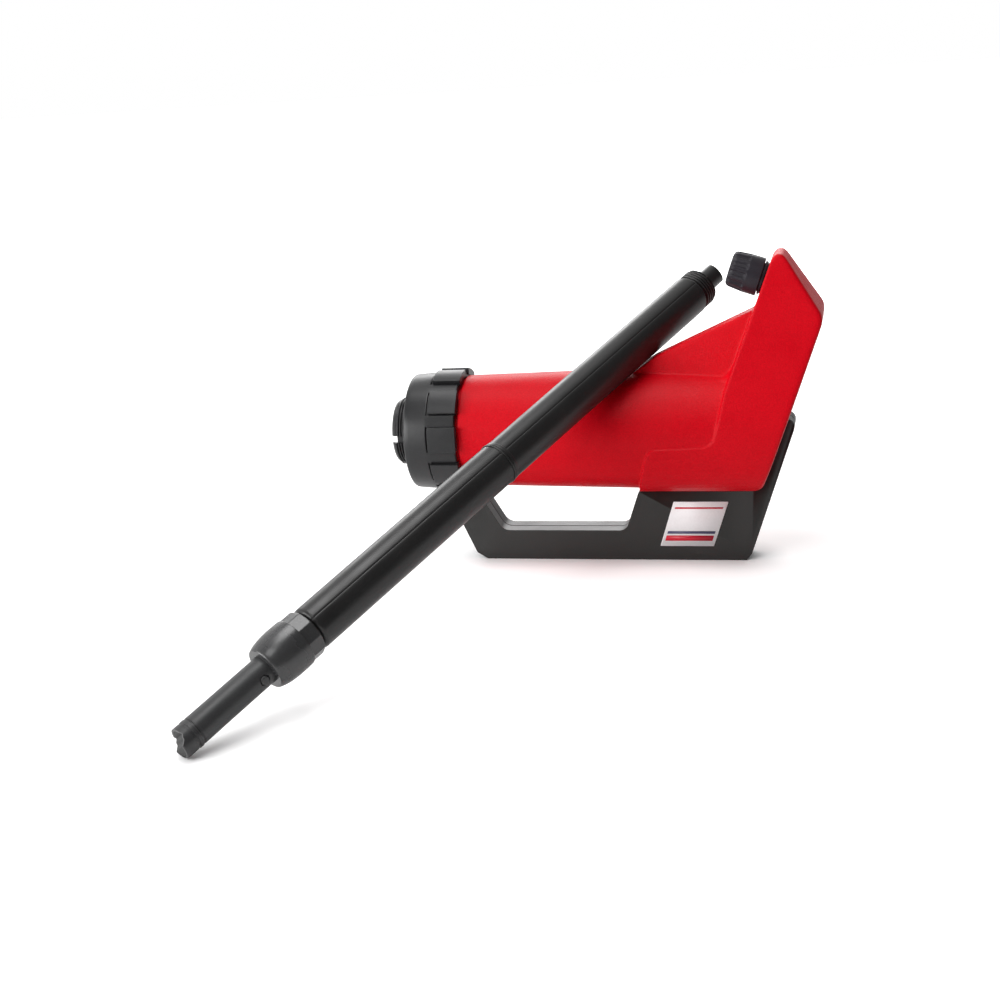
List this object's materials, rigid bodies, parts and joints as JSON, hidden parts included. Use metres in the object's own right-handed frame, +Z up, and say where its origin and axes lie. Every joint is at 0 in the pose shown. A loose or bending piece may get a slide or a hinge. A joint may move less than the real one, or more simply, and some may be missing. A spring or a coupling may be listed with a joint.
{
  "type": "drum pump",
  "caption": "Hand drum pump standing on its D-handle, red body with capped outlet, collar and drum thread, telescopic suction tube leaned on it.",
  "frame": {"origin": "middle of the flat bottom edge of the handle, on which the pump stands", "axes": "+X along the pump's axis from the drum thread to the rod end, +Z up, -Y to the side the tube stands on"},
  "size_m": [0.4355, 0.5149, 0.2679],
  "materials": {
    "body_red": "moulded, fine grain, semi-gloss",
    "handle_black": "moulded, satin",
    "screw_steel": "zinc plated",
    "label_vinyl": "plain sticker",
    "rod_steel": "ground stainless steel",
    "black_plastic": "moulded, satin",
    "inner_plastic": "moulded, smooth",
    "seal_rubber": "moulded, matt",
    "tube_black": "extruded, satin",
    "inner_tube_grey": "extruded, satin"
  },
  "bodies": {
    "housing": {"body_shell_left": "body_red", "body_shell_right": "body_red", "body_screws": "screw_steel", "inlet_seat": "inner_plastic", "inlet_valve_stop": "rod_steel", "pump_barrel": "inner_plastic", "barrel_seal": "seal_rubber", "gland_block": "inner_plastic", "gland_bush": "inner_plastic", "rod_seal": "seal_rubber", "gland_nut": "inner_plastic", "rod_wiper": "seal_rubber", "outlet_duct": "inner_plastic", "outlet_neck": "black_plastic", "outlet_seal": "seal_rubber"},
    "handle": {"handle_left": "handle_black", "handle_right": "handle_black", "handle_screws": "screw_steel", "label_plate": "label_vinyl", "piston_rod": "rod_steel", "rod_pin": "rod_steel", "piston": "inner_plastic", "piston_seals": "seal_rubber", "valve_stop_ring": "rod_steel", "piston_nut": "rod_steel"},
    "piston_valve": {"piston_valve_disc": "seal_rubber"},
    "inlet_valve": {"inlet_valve_disc": "seal_rubber"},
    "adaptor": {"drum_adaptor": "black_plastic", "adaptor_gasket": "seal_rubber"},
    "collar": {"collar_nut": "black_plastic"},
    "cap_seal": {"cap_liner": "seal_rubber"},
    "cap": {"outlet_cap": "black_plastic"},
    "inner_tube": {"inner_tube": "inner_tube_grey", "foot_strainer": "inner_tube_grey", "ball_cage": "inner_tube_grey", "stop_ring": "inner_tube_grey", "button_spring": "rod_steel"},
    "foot_valve": {"foot_ball": "inner_tube_grey"},
    "button": {"tube_button": "inner_tube_grey"},
    "outer_tube": {"lower_tube": "tube_black", "joint_ring": "tube_black", "upper_tube": "tube_black", "tube_spigot": "tube_black", "clamp_seal": "seal_rubber"},
    "clamp_washer": {"clamp_washer": "inner_tube_grey"},
    "clamp_nut": {"clamp_nut": "tube_black"}
  },
  "joints": [
    {"name": "handle_stroke", "type": "slide", "parent": "housing", "child": "handle", "axis": [1, 0, 0], "range_m": [0, 0.14]},
    {"name": "piston_valve_lift", "type": "slide", "parent": "handle", "child": "piston_valve", "axis": [1, 0, 0], "range_m": [0, 0.0045]},
    {"name": "inlet_valve_lift", "type": "slide", "parent": "housing", "child": "inlet_valve", "axis": [1, 0, 0], "range_m": [0, 0.0045]},
    {"name": "adaptor_release", "type": "slide", "parent": "housing", "child": "adaptor", "axis": [-1, 0, 0], "range_m": [0, 0.04]},
    {"name": "collar_turn", "type": "hinge", "parent": "adaptor", "child": "collar", "pos_m": [-0.15, 0, 0.117], "axis": [-1, 0, 0], "range_deg": [0, 2402]},
    {"name": "cap_lift", "type": "slide", "parent": "housing", "child": "cap_seal", "axis": [-0.9455, 0, 0.3256], "range_m": [0, 0.03]},
    {"name": "cap_turn", "type": "hinge", "parent": "cap_seal", "child": "cap", "pos_m": [0.1362, 0, 0.244], "axis": [-0.9455, 0, 0.3256], "range_deg": [0, 3602]},
    {"name": "tube_lift", "type": "slide", "parent": "housing", "child": "inner_tube", "axis": [0, 0, 1], "range_m": [0, 0.08]},
    {"name": "tube_extend", "type": "slide", "parent": "inner_tube", "child": "outer_tube", "axis": [0.515, 0.7834, 0.3479], "range_m": [0, 0.27]},
    {"name": "foot_valve_lift", "type": "slide", "parent": "inner_tube", "child": "foot_valve", "axis": [0.515, 0.7834, 0.3479], "range_m": [0, 0.009]},
    {"name": "button_press", "type": "slide", "parent": "inner_tube", "child": "button", "axis": [-0.8285, 0.5591, -0.0327], "range_m": [0, 0.002], "stiffness_N_per_m": 500, "springref_m": -0.002},
    {"name": "clamp_back_off", "type": "slide", "parent": "outer_tube", "child": "clamp_washer", "axis": [-0.515, -0.7834, -0.3479], "range_m": [0, 0.004]},
    {"name": "clamp_nut_turn", "type": "hinge", "parent": "clamp_washer", "child": "clamp_nut", "pos_m": [-0.18885, -0.32901, 0.04705], "axis": [-0.515, -0.7834, -0.3479], "range_deg": [0, 483]}
  ],
  "couplings": [
    {"joint": "collar_turn", "follows": "adaptor_release", "rad_per_m": 1047.2},
    {"joint": "cap_turn", "follows": "cap_lift", "rad_per_m": 2094.4},
    {"joint": "clamp_nut_turn", "follows": "clamp_back_off", "rad_per_m": 2094.4}
  ]
}
